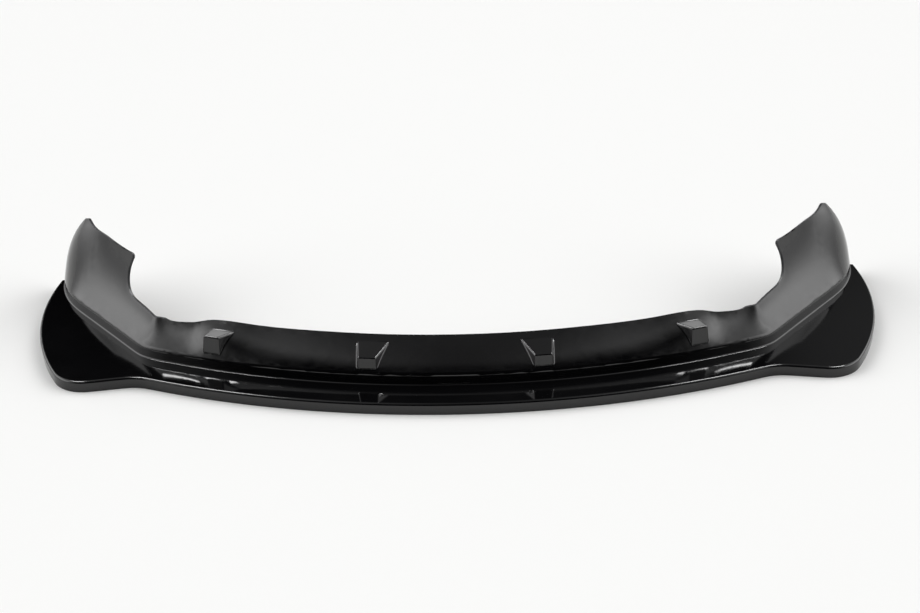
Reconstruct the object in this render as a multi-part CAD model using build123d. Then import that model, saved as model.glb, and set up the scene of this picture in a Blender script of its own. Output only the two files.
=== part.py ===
"""Front splitter lip: one sheet of ABS, formed over a mould and trimmed, open underneath and behind.

Frame: +Z up, X across the car, the front edge faces -Y, the floor is z = 0.
Sizes are millimetres and angles are degrees.
"""
from build123d import *
from dataclasses import dataclass
import math
import os

# The sheet
wall = 3.5

# Blade: a flat plate with a turned-down lip, its outline seen from above
blade_height = 24.0
lip_round = 5.0
front_radius = 1767.0
lip_sweep = 20.6
notch_radius = 98.0
notch_turn = 29.5
paddle_front = 71.0
paddle_corner_radius = 76.0
paddle_corner_turn = 68.0
blade_end = 7.2

# Foot of the step, seen from above
overhang = 71.0
front_sweep = 21.6
corner_radius = 95.0
corner_turn = 27.4
rear_radius = 245.0
rear_turn = 38.3
foot_round = 3.5

# Step and rim
step_height = 19.0
step_draft = 6.0
rim_radius = 11.0

# Fairing above the rim, at five places along the lip; the last two stand above the ear before it is trimmed
middle_depth = 84.0
middle_height = 90.0
middle_rim_slope = 44.0
middle_top_slope = 14.0
shoulder_depth = 62.0
shoulder_height = 105.0
shoulder_rim_slope = 58.0
shoulder_top_slope = 26.0
valley_depth = 49.0
valley_height = 96.0
valley_rim_slope = 38.0
valley_top_slope = 62.0
ear_depth = 96.0
ear_over = 27.0
ear_rim_slope = 36.0
ear_top_slope = 74.0
arch_depth = 79.5
arch_over = 11.0
arch_rim_slope = 80.0
arch_top_slope = 38.0
shoulder_angle = 17.2
valley_angle = 19.6
rim_pull = 0.30
top_pull = 0.38

# Where the fairing's sections stand, as shares of each stretch of the foot line
front_shares = (0.3, 0.6, 0.85, 1.0)
shoulder_shares = (0.33, 0.67, 1.0)
lift_shares = (0.2, 0.4)
ear_shares = (0.6, 0.8, 1.0)
rear_shares = (0.2, 0.4, 0.6, 0.8, 1.0)

# Trim of the ears, seen from the side
sill_behind = 2.6
sill_below = 2.0
sill_start_slope = 7.0
sill_start_pull = 0.21
sill_run = 88.0
sill_rise = 6.5
sill_end_slope = 3.0
sill_end_pull = 0.41
ear_bay_radius = 61.5
ear_corner_drop = 2.0
ear_corner_round = 8.0
ear_top_start = -9.0
ear_top_start_pull = 0.42
ear_top_end = -34.0
ear_top_end_pull = 0.22
ear_tip_height = 179.0
ear_tip_round = 5.0
arch_trim = 535.0

# Pads: where each stands along the lip, its sides seen from above and its top seen from the side
pad_set = 7.5
pad_width = 41.0
pad_draft = 5.0
pad_round = 4.0
pad_root_round = 3.0
outer_pad_angle = 17.1
outer_pad_top = 94.5
outer_pad_tilt = -2.0
outer_pad_outside = 9.0
outer_pad_inside = 34.0
outer_pad_reach = 47.0
inner_pad_angle = 6.0
inner_pad_top = 78.0
inner_pad_tilt = 8.0
inner_pad_outside = -10.0
inner_pad_inside = 22.0
inner_pad_reach = 62.0

# Room for the cutting solids
land = 28.0
below = 12.0
beyond = 60.0
past_end = 12.0
across = 1200.0
room = 400.0
near = 0.05
upright_from = 60.0


@dataclass
class Fairing:
    """The sheet's outer curve above the rim, in one section."""
    depth: float
    height: float
    rim_slope: float
    top_slope: float


MIDDLE = Fairing(middle_depth, middle_height, middle_rim_slope, middle_top_slope)
SHOULDER = Fairing(shoulder_depth, shoulder_height, shoulder_rim_slope, shoulder_top_slope)
VALLEY = Fairing(valley_depth, valley_height, valley_rim_slope, valley_top_slope)
EAR = Fairing(ear_depth, ear_tip_height + ear_over, ear_rim_slope, ear_top_slope)
ARCH = Fairing(arch_depth, ear_tip_height + arch_over, arch_rim_slope, arch_top_slope)


@dataclass
class Pad:
    """A raised pad: its place along the lip, its top, the angles of its two sides and its length."""
    angle: float
    top: float
    tilt: float
    outside: float
    inside: float
    reach: float


OUTER_PAD = Pad(outer_pad_angle, outer_pad_top, outer_pad_tilt, outer_pad_outside, outer_pad_inside,
                outer_pad_reach)
INNER_PAD = Pad(inner_pad_angle, inner_pad_top, inner_pad_tilt, inner_pad_outside, inner_pad_inside,
                inner_pad_reach)
PADS = (OUTER_PAD, INNER_PAD)


def blend(a, b, share):
    """A fairing between a and b."""
    return Fairing(*(p + (q - p) * share for p, q in zip(vars(a).values(), vars(b).values())))


def smooth(share):
    """A soft S from 0 to 1."""
    return (1 - math.cos(math.pi * share)) / 2


def flank_length():
    """Length of the straight flank, which lets the rear arc end a little behind the wheel arch."""
    sweep = math.radians(front_sweep)
    flank = math.radians(front_sweep + corner_turn)
    end = math.radians(front_sweep + corner_turn + rear_turn)
    corner_end = front_radius - (front_radius - overhang) * math.cos(sweep)
    corner_end += corner_radius * (math.cos(sweep) - math.cos(flank))
    rear_rise = rear_radius * (math.cos(flank) - math.cos(end))
    return (arch_trim + past_end - corner_end - rear_rise) / math.sin(flank)


def foot_chain(inset):
    """The foot line from the middle to the wheel arch and past it, moved inwards by inset."""
    front = JernArc((0, overhang + inset), (1, 0), front_radius - overhang - inset, front_sweep)
    corner = JernArc(front @ 1, front % 1, corner_radius - inset, corner_turn)
    flank = Line(corner @ 1, corner @ 1 + (corner % 1) * flank_length())
    rear = JernArc(flank @ 1, flank % 1, rear_radius - inset, rear_turn)
    return [front, corner, flank, rear]


def lip_front(inset):
    """The blade's outline from the middle to the end of the paddle's corner, moved inwards by inset."""
    front = JernArc((0, inset), (1, 0), front_radius - inset, lip_sweep)
    notch = JernArc(front @ 1, front % 1, notch_radius + inset, -notch_turn)
    straight = Line(notch @ 1, notch @ 1 + (notch % 1) * paddle_front)
    corner = JernArc(straight @ 1, straight % 1, paddle_corner_radius - inset, paddle_corner_turn)
    return [front, notch, straight, corner]


def lip_chain(inset):
    """The whole outline to the back of the paddle: its side bends from the corner to the end of the foot."""
    start = lip_front(0)[-1]
    chord = foot_chain(0)[3] @ 1 + Vector(blade_end, 0) - start @ 1
    half_turn = (start % 1).get_signed_angle(chord, Vector(0, 0, 1))
    radius = chord.length / (2 * math.sin(math.radians(half_turn)))
    edges = lip_front(inset)
    side = JernArc(edges[-1] @ 1, edges[-1] % 1, radius - inset, 2 * half_turn)
    return edges + [side]


def blade(inset, bottom, top):
    """The blade as a filled plate between two heights, its outline moved inwards by inset."""
    outline = lip_chain(inset)
    inner = foot_chain(land)
    end = Line(outline[-1] @ 1, inner[-1] @ 1)
    half = outline + [end] + inner
    whole = half + [edge.mirror(Plane.YZ) for edge in half]
    return extrude(Plane.XY.offset(bottom) * make_face(whole), top - bottom)


def with_lip(plate):
    """The plate with its top edge rounded all along the outline."""
    outline = lip_chain(0)
    marks = [edge @ 0.5 for edge in outline] + [edge.mirror(Plane.YZ) @ 0.5 for edge in outline]
    lift = Vector(0, 0, blade_height)
    rim = [e for e in plate.edges().group_by(Axis.Z)[-1]
           if min((e @ 0.5 - mark - lift).length for mark in marks) < near]
    return fillet(rim, lip_round)


def along(slope):
    """Direction of travel inwards and up a slope, in a section."""
    return Vector(-math.cos(math.radians(slope)), math.sin(math.radians(slope)))


def out_of(slope):
    """Direction straight out of a slope, in a section."""
    return Vector(math.sin(math.radians(slope)), math.cos(math.radians(slope)))


def section(frame, fairing, inset):
    """The filled section under the step and fairing, its curve moved inwards by inset."""
    steep = 90 - step_draft
    foot = Vector(0, blade_height)
    base = foot - along(steep) * (blade_height + below) - out_of(steep) * inset
    step_top = foot + along(steep) * step_height
    rim_centre = step_top - out_of(steep) * rim_radius
    rim_start = rim_centre + out_of(steep) * (rim_radius - inset)
    rim_mid = rim_centre + out_of((steep + fairing.rim_slope) / 2) * (rim_radius - inset)
    rim_end = rim_centre + out_of(fairing.rim_slope) * (rim_radius - inset)
    top = Vector(-fairing.depth, fairing.height) - out_of(fairing.top_slope) * inset
    chord = (top - rim_end).length
    hull = [rim_end, rim_end + along(fairing.rim_slope) * chord * rim_pull,
            top - along(fairing.top_slope) * chord * top_pull, top]
    if inset:
        back = top + along(fairing.top_slope) * beyond
        back_low = Vector(back.X - beyond, base.Y)
    else:
        back = top - out_of(fairing.top_slope) * (2 * wall)
        back_low = Vector(back.X, base.Y)
    edges = [
        Line(base, rim_start),
        ThreePointArc(rim_start, rim_mid, rim_end),
        Bezier(*hull),
        Line(top, back),
        Line(back, back_low),
        Line(back_low, base),
    ]
    return frame * make_face(edges)


def frame_at(edge, share, side):
    """The section plane that stands square on the foot line."""
    point = edge @ share
    heading = edge % share
    return Plane(origin=(side * point.X, point.Y, 0), x_dir=(side * heading.Y, -heading.X, 0),
                 z_dir=(-heading.X, -side * heading.Y, 0))


def stations():
    """Places along one half of the foot line, from the middle outwards, with the fairing there."""
    front, corner, flank, rear = foot_chain(0)
    places = [(front, 0.0, MIDDLE)]
    for share in front_shares:
        angle = shoulder_angle * share
        places.append((front, angle / front_sweep, blend(MIDDLE, SHOULDER, share ** 2)))
    for share in shoulder_shares:
        angle = shoulder_angle + (valley_angle - shoulder_angle) * share
        places.append((front, angle / front_sweep, blend(SHOULDER, VALLEY, smooth(share))))
    lift = [(front, 1.0), (corner, 0.5), (corner, 1.0)] + [(flank, share) for share in lift_shares]
    for number, (edge, share) in enumerate(lift, start=1):
        places.append((edge, share, blend(VALLEY, EAR, smooth(number / len(lift)))))
    tail = [(flank, share) for share in ear_shares] + [(rear, share) for share in rear_shares]
    for number, (edge, share) in enumerate(tail):
        places.append((edge, share, blend(EAR, ARCH, smooth(number / (len(tail) - 1)))))
    return places


def fairing_plug(inset):
    """Everything under the step and fairing, filled."""
    right = [section(frame_at(edge, share, 1), fairing, inset) for edge, share, fairing in stations()]
    left = [section(frame_at(edge, share, -1), fairing, inset) for edge, share, fairing in stations()]
    return loft(left[:0:-1] + right)


def pad_block(pad, inset):
    """One right-hand pad as a filled block that runs down into the fairing, moved inwards by inset."""
    turn = math.radians(pad.angle)
    radius = front_radius - overhang - pad_set
    spot = (radius * math.sin(turn), front_radius - radius * math.cos(turn), 0)
    frame = Plane(origin=spot, x_dir=(math.cos(turn), math.sin(turn), 0), z_dir=(0, 0, 1))
    lean = pad.reach * math.tan(math.radians(pad.outside))
    flare = pad.reach * math.tan(math.radians(pad.inside))
    half = pad_width / 2
    plan = make_face(Polyline((half, 0), (half - lean, pad.reach), (-half - flare, pad.reach), (-half, 0),
                              close=True))
    if inset:
        plan = offset(plan, -inset, kind=Kind.INTERSECTION)
    block = extrude(frame * Pos(0, 0, blade_height + step_height) * plan, pad.top, taper=pad_draft)
    lid = frame * Pos(0, 0, pad.top - inset) * Rot(X=pad.tilt) * Pos(0, 0, room / 2) * Box(room, room, room)
    return block - lid


def rounded(block):
    """The pad's block with its upright edges and its top rounded."""
    uprights = block.edges().filter_by(lambda e: abs((e % 0.5).Z) > math.sin(math.radians(upright_from)))
    block = fillet(uprights, pad_round)
    return fillet(block.faces().sort_by(Axis.Z)[-1].edges(), pad_round)


def with_pads(plug):
    """The right half of the plug with its pads, each rounded into the fairing at its root."""
    for pad in PADS:
        block = rounded(pad_block(pad, 0))
        joined = plug + block
        plug = fillet(new_edges(plug, block, combined=joined), pad_root_round)
    return plug


def with_foot(plug):
    """The plug with the corner between blade and step rounded."""
    level = plug.edges().filter_by_position(Axis.Z, blade_height - near, blade_height + near)
    return fillet(level.sort_by(SortBy.LENGTH)[-1], foot_round)


def behind(y):
    """Everything behind y."""
    return Pos(0, y, 0) * Box(2 * across, room, 2 * room, align=(Align.CENTER, Align.MIN, Align.CENTER))


def heading(angle):
    """Direction at an angle from level."""
    return Vector(math.cos(math.radians(angle)), math.sin(math.radians(angle)))


def trim():
    """Everything that the router takes off above: the bay in front of each ear and over its top edge."""
    valley_radius = front_radius - overhang - valley_depth
    valley_back = front_radius - valley_radius * math.cos(math.radians(valley_angle))
    start = Vector(valley_back + sill_behind, valley_height - sill_below)
    bay_start = start + Vector(sill_run, sill_rise)
    length = (bay_start - start).length
    sill = Bezier(start, start + heading(sill_start_slope) * length * sill_start_pull,
                  bay_start - heading(sill_end_slope) * length * sill_end_pull, bay_start)
    bay = JernArc(bay_start, heading(sill_end_slope), ear_bay_radius, 90 - sill_end_slope)
    corner = Vector((bay @ 1).X, ear_tip_height - ear_corner_drop)
    tip = Vector(arch_trim - ear_tip_round * (1 + math.sin(math.radians(ear_top_end))), ear_tip_height)
    span = (tip - corner).length
    top = Bezier(corner, corner + heading(ear_top_start) * span * ear_top_start_pull,
                 tip - heading(ear_top_end) * span * ear_top_end_pull, tip)
    end = JernArc(tip, heading(ear_top_end), ear_tip_round, -90 - ear_top_end)
    away = Polyline(end @ 1, (arch_trim + beyond, (end @ 1).Y), (arch_trim + beyond, room),
                    ((sill @ 0).X, room), sill @ 0)
    cut = make_face([sill, bay, Line(bay @ 1, corner), top, end, away])
    cut = fillet(cut.vertices().sort_by_distance(corner)[0], ear_corner_round)
    return extrude(Plane.YZ * cut, across, both=True)


outside = fairing_plug(0) + with_lip(blade(0, 0, blade_height)) - behind(arch_trim)
outside = with_pads(with_foot(split(outside, bisect_by=Plane.YZ)))
inside = fairing_plug(wall) + blade(wall, -below, blade_height - wall)
inside += [pad_block(pad, wall) for pad in PADS]
right = outside - inside - trim()

sheet = Pos(0, -arch_trim / 2, 0) * (right + mirror(right, about=Plane.YZ))
sheet.label = "splitter_lip"

os.makedirs("parts", exist_ok=True)
export_step(sheet, "parts/splitter_lip.step")
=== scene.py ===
"""A gloss black front splitter lip on a pale studio floor, seen from the front and a little above."""
import math
import bpy
import numpy as np
from mathutils import Matrix, Vector, kdtree


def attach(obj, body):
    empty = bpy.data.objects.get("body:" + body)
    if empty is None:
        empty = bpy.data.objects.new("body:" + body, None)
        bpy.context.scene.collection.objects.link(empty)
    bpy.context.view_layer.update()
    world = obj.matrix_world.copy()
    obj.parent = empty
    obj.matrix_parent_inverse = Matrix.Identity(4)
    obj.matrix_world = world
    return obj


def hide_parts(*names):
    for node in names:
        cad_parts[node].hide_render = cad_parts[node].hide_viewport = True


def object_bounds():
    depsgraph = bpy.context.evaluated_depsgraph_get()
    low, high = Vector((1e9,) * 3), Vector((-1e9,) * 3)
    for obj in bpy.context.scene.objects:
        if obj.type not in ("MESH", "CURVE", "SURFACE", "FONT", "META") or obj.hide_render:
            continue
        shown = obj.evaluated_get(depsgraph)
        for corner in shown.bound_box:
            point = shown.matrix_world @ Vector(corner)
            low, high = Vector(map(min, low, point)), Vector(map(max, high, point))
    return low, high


# The photograph's frame and its camera: places in metres, angles in degrees
PHOTO_WIDTH = 920
FOCAL_PIXELS = 1579.0
SENSOR = 36.0
CAMERA_AIM = Vector((0.0097, 0.0205, 0.0776))
CAMERA_DISTANCE = 3.298
CAMERA_AZIMUTH = 0.8
CAMERA_ELEVATION = 30.0
CAMERA_ROLL = 1.55

# The floor, a hair below the lip's rim, and the lamp that lights it
FLOOR_SIZE = 14.0
FLOOR_DROP = 0.0004
FLOOR_LIGHT = 14.0
FLOOR_LAMP_PLACE = (0.0, 0.6, 4.5)
FLOOR_LAMP_SIZE = 6.0

# Where the room is bright, by direction. Each step has an axis, where along it the light starts,
# where it is full, and the share that is left before the start.
WALL_LIGHT = 3.1
WALL_STEPS = (
    ("side", 0.35, 0.85, 0.0),
    ("Z", 0.0, 0.35, 0.3),
    ("Z", 1.0, 0.55, 0.0),
    ("Y", -0.80, -0.30, 0.0),
)
CEILING_LIGHT = 0.9
CEILING_STEPS = (
    ("Z", 0.54, 0.62, 0.0),
    ("Y", -0.55, -0.15, 0.0),
    ("side", 0.0, 0.40, 0.2),
)
BACKDROP = 0.95

# Softboxes that only the gloss shows: name, centre, what it faces, width, height and strength.
# The lamps draw the lines on the lip and the foot, the pad cards lighten the outer pads' tops,
# and the right card greys the right paddle. The lower the fade, the more even the cloth.
SOFTBOXES = (
    ("left_lamp", (-2.55, 1.66, 5.35), (-0.5, -0.13, 0.03), 0.8, 1.7, 45.0),
    ("right_lamp", (2.55, 1.66, 5.35), (0.5, -0.13, 0.03), 0.8, 1.7, 45.0),
    ("left_pad_card", (-0.55, 0.30, 0.30), (-0.481, -0.095, 0.094), 0.10, 0.04, 2.5),
    ("right_pad_card", (0.537, 0.30, 0.30), (0.481, -0.095, 0.094), 0.10, 0.04, 2.5),
    ("right_card", (1.9, 2.6, 1.75), (0.7, -0.1, 0.1), 1.3, 0.8, 0.15),
)
CLOTH_FADE = 0.3

# The sheet's finer mesh: points nearer than MERGE become one, longer edges than these are split,
# and an edge is soft where the normals of its two faces agree this well. The square keeps a
# division from zero.
MERGE = 0.00002
LONGEST_EDGE = 0.012
LONGEST_LIP_EDGE = 0.005
SOFT_EDGE = 0.998
SMALLEST_SQUARE = 1e-18

# The blade's lip, as in the solid
BLADE_HEIGHT = 0.024
LIP_ROUND = 0.005

# How the lip is found: how far its wall reaches in, the least radius of its outer face,
# how far a wall's normal may lean, which normals belong to the rear cut,
# how well a normal has to agree with the true round, the step along the outline,
# and the place around which the outline's points are put in order
LIP_WALL_REACH = 0.0015
OUTER_LIP = 0.0036
WALL_LEAN = 0.05
FACES_BACK = 0.9
FACES_STRAIGHT_BACK = 0.97
LEAST_AGREEMENT = 0.5
OUTLINE_STEP = 0.0005
OUTLINE_EYE = Vector((0.0, 0.45))

# Where the router cut: the lower rim, the rear ends, and the ears' edges, which were cut along X
CUT_FACING = 0.98
RIM_TOP = 0.001
REAR_CUT = 0.267
EAR_CUT_LEAN = 0.02
EAR_INNER = 0.55
EAR_FRONT = -0.06
EAR_LOWEST_CUT = 0.085

# A place in the hollow behind each face, towards which the inside looks
HOLLOW_SHARE = 0.75
HOLLOW_DEPTH = 0.25
HOLLOW_HEIGHT = -0.05

# Slots of the sheet's finishes; the gloss has the first, number 0
SATIN_SLOT = 1
CUT_SLOT = 2


def linear(hex_colour):
    """An sRGB hex colour as linear red, green, blue and alpha."""
    parts = [int(hex_colour[i:i + 2], 16) / 255 for i in (0, 2, 4)]
    return [p / 12.92 if p <= 0.04045 else ((p + 0.055) / 1.055) ** 2.4 for p in parts] + [1.0]


def per_metre(millimetres):
    """A pattern's scale from the size of its features."""
    return 1000 / millimetres


def add_node(tree, kind, settings, inputs):
    """A node with its settings; an input is a value or the socket that feeds it."""
    made = tree.nodes.new(kind)
    for name, value in settings.items():
        setattr(made, name, value)
    for name, value in inputs.items():
        if isinstance(value, bpy.types.NodeSocket):
            tree.links.new(value, made.inputs[name])
        else:
            made.inputs[name].default_value = value
    return made


def new_material(name):
    """An empty material and its node tree."""
    material = bpy.data.materials.new(name)
    material.use_nodes = True
    material.node_tree.nodes.clear()
    return material, material.node_tree


def gloss_black_abs():
    """Polished black ABS drawn over a mould: a dark mirror, faintly wavy, with a few duller patches."""
    material, tree = new_material("gloss_black_abs")
    place = add_node(tree, "ShaderNodeTexCoord", {}, {}).outputs["Object"]
    patches = add_node(tree, "ShaderNodeTexNoise", {}, {
        "Vector": place, "Scale": per_metre(180), "Detail": 3.0, "Roughness": 0.6})
    haze = add_node(tree, "ShaderNodeMapRange", {}, {
        "Value": patches.outputs["Fac"], "From Min": 0.35, "From Max": 0.75,
        "To Min": 0.05, "To Max": 0.11})
    tone = add_node(tree, "ShaderNodeValToRGB", {}, {"Fac": patches.outputs["Fac"]})
    tone.color_ramp.elements[0].color = linear("050506")
    tone.color_ramp.elements[1].color = linear("0B0B0C")
    peel = add_node(tree, "ShaderNodeTexNoise", {}, {"Vector": place, "Scale": per_metre(9), "Detail": 1.0})
    wave = add_node(tree, "ShaderNodeBump", {}, {
        "Height": peel.outputs["Fac"], "Distance": 0.00003, "Strength": 0.5})
    shader = add_node(tree, "ShaderNodeBsdfPrincipled", {}, {
        "Base Color": tone.outputs["Color"], "Roughness": haze.outputs["Result"], "IOR": 1.53,
        "Normal": wave.outputs["Normal"]})
    add_node(tree, "ShaderNodeOutputMaterial", {}, {"Surface": shader.outputs["BSDF"]})
    return material


def satin_black_abs():
    """The side of the sheet that lay away from the mould: a satin grain that spreads the light."""
    material, tree = new_material("satin_black_abs")
    place = add_node(tree, "ShaderNodeTexCoord", {}, {}).outputs["Object"]
    patches = add_node(tree, "ShaderNodeTexNoise", {}, {
        "Vector": place, "Scale": per_metre(90), "Detail": 4.0})
    tone = add_node(tree, "ShaderNodeValToRGB", {}, {"Fac": patches.outputs["Fac"]})
    tone.color_ramp.elements[0].color = linear("101012")
    tone.color_ramp.elements[1].color = linear("1E1E20")
    haze = add_node(tree, "ShaderNodeMapRange", {}, {
        "Value": patches.outputs["Fac"], "To Min": 0.40, "To Max": 0.58})
    # The real grain is about half a millimetre, drawn coarser to show
    grain = add_node(tree, "ShaderNodeTexNoise", {}, {
        "Vector": place, "Scale": per_metre(2.5), "Detail": 2.0})
    rough = add_node(tree, "ShaderNodeBump", {}, {
        "Height": grain.outputs["Fac"], "Distance": 0.0004, "Strength": 0.5})
    shader = add_node(tree, "ShaderNodeBsdfPrincipled", {}, {
        "Base Color": tone.outputs["Color"], "Roughness": haze.outputs["Result"], "IOR": 1.53,
        "Normal": rough.outputs["Normal"]})
    add_node(tree, "ShaderNodeOutputMaterial", {}, {"Surface": shader.outputs["BSDF"]})
    return material


def routed_abs_edge():
    """The cut edge of the sheet: dull, and slightly rough from the router."""
    material, tree = new_material("routed_abs_edge")
    place = add_node(tree, "ShaderNodeTexCoord", {}, {}).outputs["Object"]
    # The real edge is rough on a finer scale, drawn coarser to show
    marks = add_node(tree, "ShaderNodeTexNoise", {}, {"Vector": place, "Scale": per_metre(3), "Detail": 2.0})
    tone = add_node(tree, "ShaderNodeValToRGB", {}, {"Fac": marks.outputs["Fac"]})
    tone.color_ramp.elements[0].color = linear("242426")
    tone.color_ramp.elements[1].color = linear("414143")
    cut = add_node(tree, "ShaderNodeBump", {}, {
        "Height": marks.outputs["Fac"], "Distance": 0.0003, "Strength": 0.5})
    shader = add_node(tree, "ShaderNodeBsdfPrincipled", {}, {
        "Base Color": tone.outputs["Color"], "Roughness": 0.38, "IOR": 1.53, "Normal": cut.outputs["Normal"]})
    add_node(tree, "ShaderNodeOutputMaterial", {}, {"Surface": shader.outputs["BSDF"]})
    return material


def pale_floor():
    """Matt white studio vinyl."""
    material, tree = new_material("matt_white_vinyl")
    shader = add_node(tree, "ShaderNodeBsdfPrincipled", {}, {
        "Base Color": linear("F3F3F2"), "Roughness": 0.9, "Specular IOR Level": 0.0})
    add_node(tree, "ShaderNodeOutputMaterial", {}, {"Surface": shader.outputs["BSDF"]})
    return material


def softbox_cloth(name, strength):
    """Diffusing cloth, brightest in the middle."""
    material, tree = new_material(name)
    place = add_node(tree, "ShaderNodeTexCoord", {}, {})
    sides = add_node(tree, "ShaderNodeSeparateXYZ", {}, {"Vector": place.outputs["Object"]})
    glow = strength
    for axis in "XY":
        share = sides.outputs[axis]
        square = add_node(tree, "ShaderNodeMath", {"operation": "MULTIPLY"}, {0: share, 1: share})
        # The cloth runs from -1/2 to 1/2, so this is 1 in its middle and 0 at its edge
        hump = add_node(tree, "ShaderNodeMath", {"operation": "MULTIPLY_ADD"}, {
            0: square.outputs[0], 1: -4.0, 2: 1.0})
        soft = add_node(tree, "ShaderNodeMath", {"operation": "POWER"}, {0: hump.outputs[0], 1: CLOTH_FADE})
        dimmed = add_node(tree, "ShaderNodeMath", {"operation": "MULTIPLY"}, {0: soft.outputs[0], 1: glow})
        glow = dimmed.outputs[0]
    light = add_node(tree, "ShaderNodeEmission", {}, {"Strength": glow})
    add_node(tree, "ShaderNodeOutputMaterial", {}, {"Surface": light.outputs["Emission"]})
    return material


def softbox(name, centre, aim, width, height, strength):
    """A flat softbox that faces aim; only gloss shows it."""
    facing = (Vector(aim) - Vector(centre)).to_track_quat("Z", "Y").to_euler()
    bpy.ops.object.select_all(action="DESELECT")
    bpy.ops.mesh.primitive_plane_add(size=1, location=centre, rotation=facing)
    box = bpy.context.object
    box.name = name
    box.scale = (width, height, 1)
    box.data.materials.append(softbox_cloth(name + "_cloth", strength))
    box.visible_camera = False
    box.visible_diffuse = False
    box.visible_shadow = False


def floor():
    """The floor that the lip lies on; it fills the photograph's whole frame."""
    bpy.ops.object.select_all(action="DESELECT")
    bpy.ops.mesh.primitive_plane_add(size=FLOOR_SIZE, location=(0, 0, -FLOOR_DROP))
    plane = bpy.context.object
    plane.name = "studio_floor"
    plane.data.materials.append(pale_floor())


def floor_lamp():
    """A wide lamp overhead that lights the floor alone: the gloss doesn't show it."""
    bpy.ops.object.light_add(type="AREA", location=FLOOR_LAMP_PLACE)
    lamp = bpy.context.object
    lamp.name = "floor_lamp"
    lamp.data.shape = "RECTANGLE"
    lamp.data.size = FLOOR_LAMP_SIZE
    lamp.data.size_y = FLOOR_LAMP_SIZE
    lamp.data.energy = FLOOR_LIGHT
    lamp.visible_glossy = False
    lamp.visible_camera = False


def soft_room():
    """White walls at both sides, brightest a third of the way up, and a dim white ceiling overhead."""
    world = bpy.data.worlds.new("soft_room")
    world.use_nodes = True
    tree = world.node_tree
    tree.nodes.clear()
    way = add_node(tree, "ShaderNodeTexCoord", {}, {}).outputs["Generated"]
    axes = add_node(tree, "ShaderNodeSeparateXYZ", {}, {"Vector": way})
    side = add_node(tree, "ShaderNodeMath", {"operation": "ABSOLUTE"}, {0: axes.outputs["X"]})
    places = {"side": side.outputs[0], "Y": axes.outputs["Y"], "Z": axes.outputs["Z"]}
    lights = []
    for glow, steps in ((WALL_LIGHT, WALL_STEPS), (CEILING_LIGHT, CEILING_STEPS)):
        for axis, start, full, least in steps:
            step = add_node(tree, "ShaderNodeMapRange", {"interpolation_type": "SMOOTHSTEP"}, {
                "Value": places[axis], "From Min": start, "From Max": full, "To Min": least})
            dimmed = add_node(tree, "ShaderNodeMath", {"operation": "MULTIPLY"}, {
                0: step.outputs["Result"], 1: glow})
            glow = dimmed.outputs[0]
        lights.append(glow)
    both = add_node(tree, "ShaderNodeMath", {"operation": "ADD"}, {0: lights[0], 1: lights[1]})
    # Past the floor's edge the eye meets a plain white backdrop; the gloss still shows the room
    seen = add_node(tree, "ShaderNodeLightPath", {}, {}).outputs["Is Camera Ray"]
    shown = add_node(tree, "ShaderNodeMix", {}, {"Factor": seen, "A": both.outputs[0], "B": BACKDROP})
    sky = add_node(tree, "ShaderNodeBackground", {}, {
        "Color": linear("FFFFFF"), "Strength": shown.outputs["Result"]})
    add_node(tree, "ShaderNodeOutputWorld", {}, {"Surface": sky.outputs["Background"]})
    bpy.context.scene.world = world


def camera():
    """The photograph's camera."""
    turn = math.radians(CAMERA_AZIMUTH)
    rise = math.radians(CAMERA_ELEVATION)
    roll = math.radians(CAMERA_ROLL)
    back = Vector((math.sin(turn) * math.cos(rise), -math.cos(turn) * math.cos(rise), math.sin(rise)))
    level = Vector((0, 0, 1)).cross(back).normalized()
    upright = back.cross(level)
    right = level * math.cos(roll) - upright * math.sin(roll)
    up = level * math.sin(roll) + upright * math.cos(roll)
    data = bpy.data.cameras.new("photo_camera")
    data.sensor_width = SENSOR
    data.sensor_fit = "HORIZONTAL"
    data.lens = SENSOR * FOCAL_PIXELS / PHOTO_WIDTH
    shot = bpy.data.objects.new("photo_camera", data)
    bpy.context.scene.collection.objects.link(shot)
    shot.matrix_world = Matrix.Translation(CAMERA_AIM + back * CAMERA_DISTANCE) @ Matrix(
        (right, up, back)).transposed().to_4x4()
    bpy.context.scene.camera = shot


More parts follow.
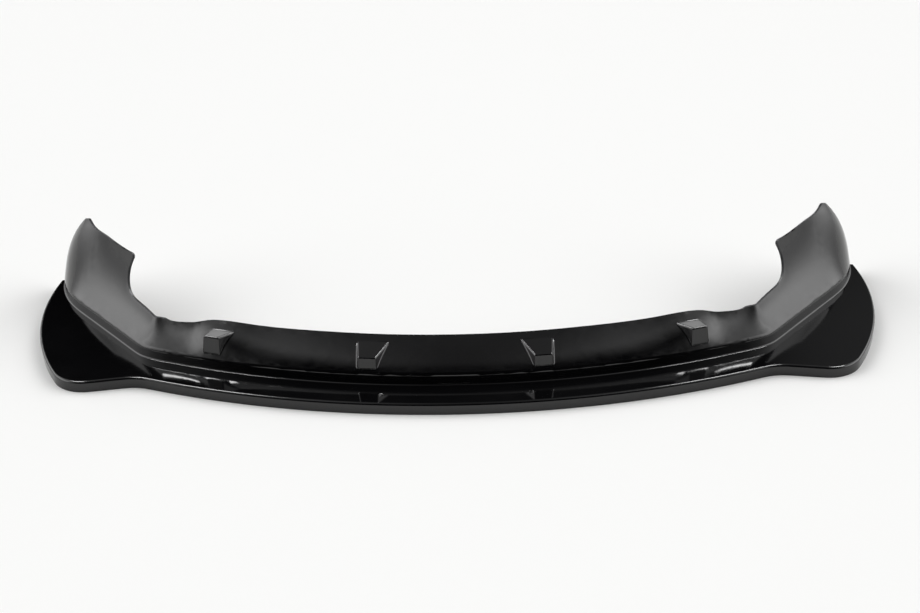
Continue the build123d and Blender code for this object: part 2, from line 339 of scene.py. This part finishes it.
def split_long(points, faces, normals, near_lip):
    """One round: every long edge gets a point in its middle, on the curve that the end normals ask for."""
    start, end = faces, np.roll(faces, -1, axis=1)
    pairs = np.stack([np.minimum(start, end), np.maximum(start, end)], axis=2).reshape(-1, 2)
    edges, number = np.unique(pairs, axis=0, return_inverse=True)
    number = number.reshape(faces.shape)
    high_up = points[:, 2] > BLADE_HEIGHT - LIP_ROUND - MERGE
    at_lip = (high_up & near_lip(points))[edges].all(axis=1)
    limit = np.where(at_lip, LONGEST_LIP_EDGE, LONGEST_EDGE)
    is_long = np.linalg.norm(points[edges[:, 0]] - points[edges[:, 1]], axis=1) > limit
    if not is_long.any():
        return points, faces, normals, False
    step = points[end] - points[start]
    ahead = np.roll(normals, -1, axis=1)
    lean_start = (step * normals).sum(axis=2, keepdims=True)
    lean_end = -(step * ahead).sum(axis=2, keepdims=True)
    raised = (points[start] + points[end]) / 2 - (lean_start * normals + lean_end * ahead) / 8
    flip = (lean_start - lean_end) * 2 / np.maximum((step * step).sum(axis=2, keepdims=True), SMALLEST_SQUARE)
    turned = normals + ahead - flip * step
    turned /= np.linalg.norm(turned, axis=2, keepdims=True)
    low = np.where((start < end)[..., None], normals, ahead)
    high = np.where((start < end)[..., None], ahead, normals)
    count = np.bincount(number.ravel(), minlength=len(edges))[:, None]
    middle, at_low, at_high = (np.zeros((len(edges), 3)) for _ in range(3))
    for total, part in ((middle, raised), (at_low, low), (at_high, high)):
        np.add.at(total, number.ravel(), part.reshape(-1, 3))
        total /= count
    agree = np.minimum(np.linalg.norm(at_low, axis=1), np.linalg.norm(at_high, axis=1))
    sharp = agree < SOFT_EDGE
    middle[sharp] = (points[edges[sharp, 0]] + points[edges[sharp, 1]]) / 2
    fresh = np.full(len(edges), -1)
    fresh[is_long] = len(points) + np.arange(is_long.sum())
    points = np.vstack([points, middle[is_long]])
    new_faces, new_normals = [], []
    for corners, ways, mids, bends in zip(faces.tolist(), normals, fresh[number].tolist(), turned):
        first = max(range(3), key=lambda k: (mids[k] >= 0) * 2 + (mids[k - 1] < 0))
        order = [(first + k) % 3 for k in range(3)]
        a, b, c = ((corners[k], ways[k]) for k in order)
        p, q, r = ((mids[k], bends[k]) for k in order)
        if p[0] < 0:
            cut = [(a, b, c)]
        elif q[0] < 0 and r[0] < 0:
            cut = [(a, p, c), (p, b, c)]
        elif r[0] < 0:
            cut = [(p, b, q), (a, p, q), (a, q, c)]
        elif q[0] < 0:
            cut = [(a, p, r), (p, b, c), (p, c, r)]
        else:
            cut = [(a, p, r), (p, b, q), (r, q, c), (p, q, r)]
        for trio in cut:
            new_faces.append([point for point, _ in trio])
            new_normals.append([way for _, way in trio])
    return points, np.array(new_faces), np.array(new_normals), True


class Outline:
    """The blade's outline seen from above, as a smooth curve through the foot of its outer wall."""

    def __init__(self, points, faces, normals):
        spots = points[faces]
        out = ((spots[..., :2] - np.array(OUTLINE_EYE)) * normals[..., :2]).sum(axis=2) > 0
        upright = np.abs(normals[..., 2]) < WALL_LEAN
        wall = out & upright & (spots[..., 2] < MERGE) & (normals[..., 1] < FACES_BACK)
        knots = points[np.unique(faces[wall])][:, :2]
        away = knots - np.array(OUTLINE_EYE)
        knots = knots[np.argsort(np.arctan2(away[:, 0], -away[:, 1]))]
        path = []
        for k in range(len(knots) - 1):
            a, b = knots[k], knots[k + 1]
            before = knots[k - 1] if k else 2 * a - b
            after = knots[k + 2] if k + 2 < len(knots) else 2 * b - a
            span = np.linalg.norm(b - a)
            leave = (b - before) / (np.linalg.norm(a - before) + span) * span
            reach = (after - a) / (np.linalg.norm(after - b) + span) * span
            steps = max(2, int(span / OUTLINE_STEP))
            for t in np.arange(steps) / steps:
                path.append((2 * t ** 3 - 3 * t ** 2 + 1) * a + (t ** 3 - 2 * t ** 2 + t) * leave
                            + (3 * t ** 2 - 2 * t ** 3) * b + (t ** 3 - t ** 2) * reach)
        path.append(knots[-1])
        self.path = np.array(path)
        ahead = np.gradient(self.path, axis=0)
        ahead /= np.linalg.norm(ahead, axis=1, keepdims=True)
        self.out = np.stack([ahead[:, 1], -ahead[:, 0]], axis=1)
        self.tree = kdtree.KDTree(len(self.path))
        for number, (x, y) in enumerate(self.path):
            self.tree.insert((x, y, 0), number)
        self.tree.balance()

    def nearest(self, points):
        """For each point its nearest place on the outline, and how far inside it lies."""
        number = np.array([self.tree.find((x, y, 0))[1] for x, y, _ in points])
        return number, ((self.path[number] - points[:, :2]) * self.out[number]).sum(axis=1)

    def near_lip(self, points):
        """Which points lie within the width of the rounded lip."""
        return self.nearest(points)[1] < LIP_ROUND + MERGE

    def shape(self, points, faces, normals):
        """Points of the outer lip brought onto its true round, with the round's own normals."""
        number, inside = self.nearest(points)
        reach = LIP_ROUND - inside
        rise = points[:, 2] - (BLADE_HEIGHT - LIP_ROUND)
        radius = np.hypot(reach, rise)
        on_wall = (rise <= 0) & (inside < LIP_WALL_REACH)
        on_round = (rise > 0) & (reach > 0) & (radius > OUTER_LIP)
        outward = np.where(on_wall, 1.0, reach / np.maximum(radius, MERGE))
        upward = np.where(on_wall, 0.0, rise / np.maximum(radius, MERGE))
        lip = on_wall | on_round
        moved = points.copy()
        moved[:, :2] += (self.out[number].T * (outward * LIP_ROUND - reach)).T
        moved[on_round, 2] = BLADE_HEIGHT - LIP_ROUND + upward[on_round] * LIP_ROUND
        points = np.where(lip[:, None], moved, points)
        true = np.column_stack([(self.out[number].T * outward).T, upward])
        agree = (true[faces] * normals).sum(axis=2) > LEAST_AGREEMENT
        reshaped = lip[faces] & agree & (normals[..., 1] < FACES_STRAIGHT_BACK)
        return points, np.where(reshaped[..., None], true[faces], normals)


def formed_sheet(node, box):
    """The CAD sheet with a finer mesh, so that its gloss shows smooth reflections."""
    source = node.data
    corner = np.empty(len(source.loops), int)
    source.loops.foreach_get("vertex_index", corner)
    normals = np.empty(len(source.loops) * 3)
    source.corner_normals.foreach_get("vector", normals)
    spots = np.empty(len(source.vertices) * 3)
    source.vertices.foreach_get("co", spots)
    spots = spots.reshape(-1, 3)
    cells = np.round(spots / MERGE).astype(int)
    _, first, place = np.unique(cells, axis=0, return_index=True, return_inverse=True)
    points = spots[first]
    faces = place.ravel()[corner].reshape(-1, 3)
    normals = normals.reshape(-1, 3, 3)
    whole = (faces[:, 0] != faces[:, 1]) & (faces[:, 1] != faces[:, 2]) & (faces[:, 2] != faces[:, 0])
    faces, normals = faces[whole], normals[whole]
    outline = Outline(points, faces, normals)
    more = True
    while more:
        points, faces, normals, more = split_long(points, faces, normals, outline.near_lip)
    points, normals = outline.shape(points, faces, normals)
    points = np.clip(points, box[0], box[1])
    mesh = bpy.data.meshes.new("formed_sheet")
    mesh.from_pydata(points.tolist(), [], faces.tolist())
    mesh.shade_smooth()
    mesh.normals_split_custom_set(normals.reshape(-1, 3).tolist())
    sheet = bpy.data.objects.new("formed_sheet", mesh)
    bpy.context.scene.collection.objects.link(sheet)
    return sheet


def paint(sheet, gloss, satin, cut_edge):
    """Gloss outside, satin inside, and dull where the router cut."""
    for finish in (gloss, satin, cut_edge):
        sheet.data.materials.append(finish)
    for face in sheet.data.polygons:
        x, y, z = face.center
        normal = face.normal
        inward = Vector((HOLLOW_SHARE * x, HOLLOW_DEPTH, HOLLOW_HEIGHT)) - face.center
        rim = normal.z < -CUT_FACING and z < RIM_TOP
        rear = normal.y > CUT_FACING and y > REAR_CUT
        at_ear = abs(x) > EAR_INNER and y > EAR_FRONT and z > EAR_LOWEST_CUT
        ear_edge = at_ear and abs(normal.x) < EAR_CUT_LEAN
        if rim or rear or ear_edge:
            face.material_index = CUT_SLOT
        elif normal.dot(inward) > 0:
            face.material_index = SATIN_SLOT


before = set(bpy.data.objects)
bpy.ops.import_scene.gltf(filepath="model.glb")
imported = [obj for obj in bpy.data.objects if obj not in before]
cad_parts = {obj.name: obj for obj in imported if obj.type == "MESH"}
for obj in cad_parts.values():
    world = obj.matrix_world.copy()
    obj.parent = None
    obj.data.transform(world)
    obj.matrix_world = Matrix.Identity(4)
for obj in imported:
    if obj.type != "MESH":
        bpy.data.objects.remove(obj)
cad_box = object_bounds()
sheet = formed_sheet(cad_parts["splitter_lip"], cad_box)
paint(sheet, gloss_black_abs(), satin_black_abs(), routed_abs_edge())
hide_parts("splitter_lip")
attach(sheet, "root")

floor()
for values in SOFTBOXES:
    softbox(*values)
floor_lamp()
soft_room()
camera()
bpy.context.scene.view_settings.view_transform = "Standard"
